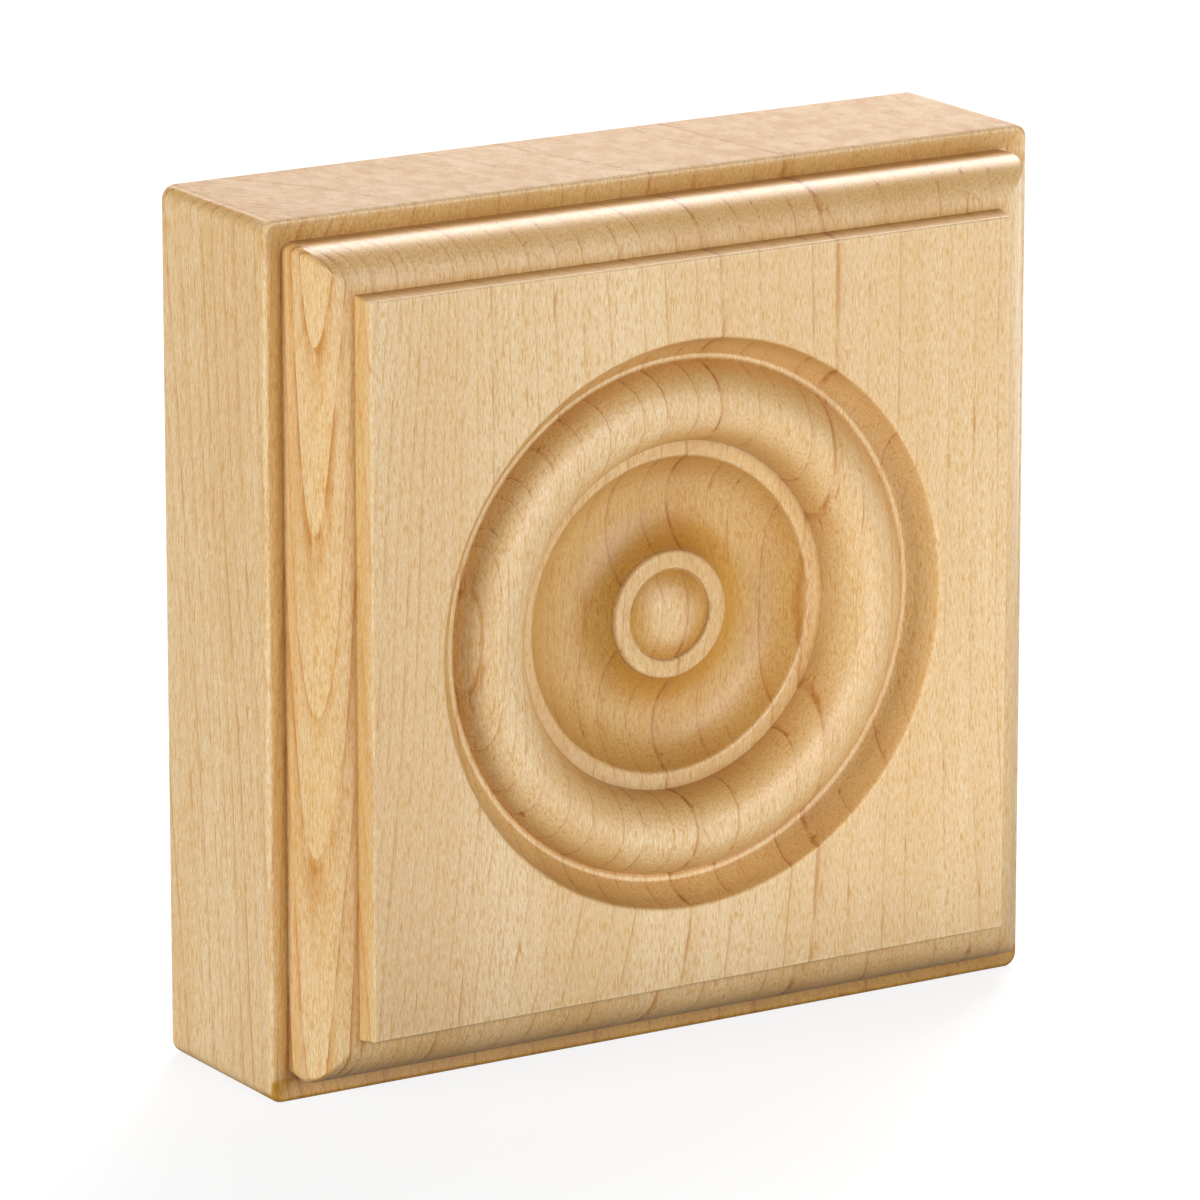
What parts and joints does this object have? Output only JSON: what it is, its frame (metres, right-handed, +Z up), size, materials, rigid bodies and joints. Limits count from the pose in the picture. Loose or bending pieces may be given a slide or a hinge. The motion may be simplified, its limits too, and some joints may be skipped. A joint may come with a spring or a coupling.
{
  "type": "corner rosette block",
  "caption": "Square hardwood corner block with a quirked ovolo moulding mitred round its face and a turned bullseye rosette, set where door or window casings meet.",
  "frame": {"origin": "centre of the flat back face", "axes": "+Z up along the grain, +Y out of the back face into the wall, so the rosette looks towards -Y"},
  "size_m": [0.0888, 0.028, 0.0888],
  "materials": {
    "maple": "pale maple under a clear satin lacquer"
  },
  "bodies": {
    "root": {"rosette_block": "maple"}
  },
  "joints": []
}
